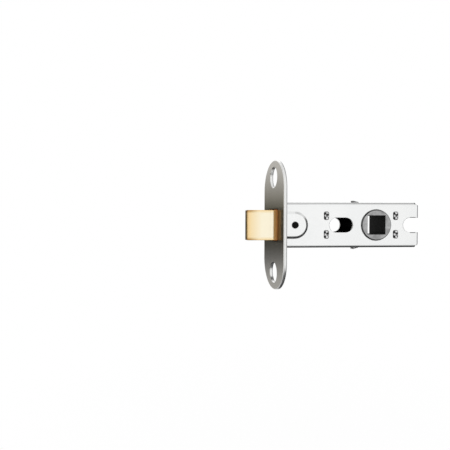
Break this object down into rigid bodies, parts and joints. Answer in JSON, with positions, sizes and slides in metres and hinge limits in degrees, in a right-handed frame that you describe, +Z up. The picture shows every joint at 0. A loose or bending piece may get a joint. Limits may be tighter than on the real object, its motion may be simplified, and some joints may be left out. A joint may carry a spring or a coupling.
{
  "type": "tubular door latch",
  "caption": "Tubular mortice latch with a sprung bevelled bolt, a round-ended forend plate, a pressed steel case and a turning hub with a square spindle socket.",
  "frame": {"origin": "middle of the forend's front face, on the bolt's centre line", "axes": "+X runs back into the door along the case, +Z is up along the forend, -Y is the side that the bolt's flat cheek faces"},
  "size_m": [0.0764, 0.026, 0.057],
  "materials": {
    "forend": "satin",
    "case": "zinc plated",
    "bridge": "peened",
    "pad": "moulded",
    "bolt": "polished",
    "tail": "zinc plated",
    "spring": "drawn wire",
    "follower": "die cast"
  },
  "bodies": {
    "case": {"forend_plate": "forend", "case_channel": "case", "case_cover": "case", "front_bridge": "bridge", "rear_bridge": "bridge", "guide_pad_near": "pad", "guide_pad_far": "pad", "bolt_spring_upper": "spring", "bolt_spring_lower": "spring"},
    "bolt": {"bolt_head": "bolt", "bolt_tail": "tail"},
    "follower": {"follower": "follower"}
  },
  "joints": [
    {"name": "follower_turn", "type": "hinge", "parent": "case", "child": "follower", "pos_m": [0.0439, 0, 0], "axis": [0, 1, 0], "range_deg": [0, 80]},
    {"name": "bolt_slide", "type": "slide", "parent": "case", "child": "bolt", "axis": [1, 0, 0], "range_m": [0, 0.0108], "stiffness_N_per_m": 600, "springref_m": -0.01, "deforming": ["bolt_spring_upper", "bolt_spring_lower"]}
  ],
  "couplings": [
    {"joint": "follower_turn", "follows": "bolt_slide", "rad_per_m": 129.28}
  ]
}
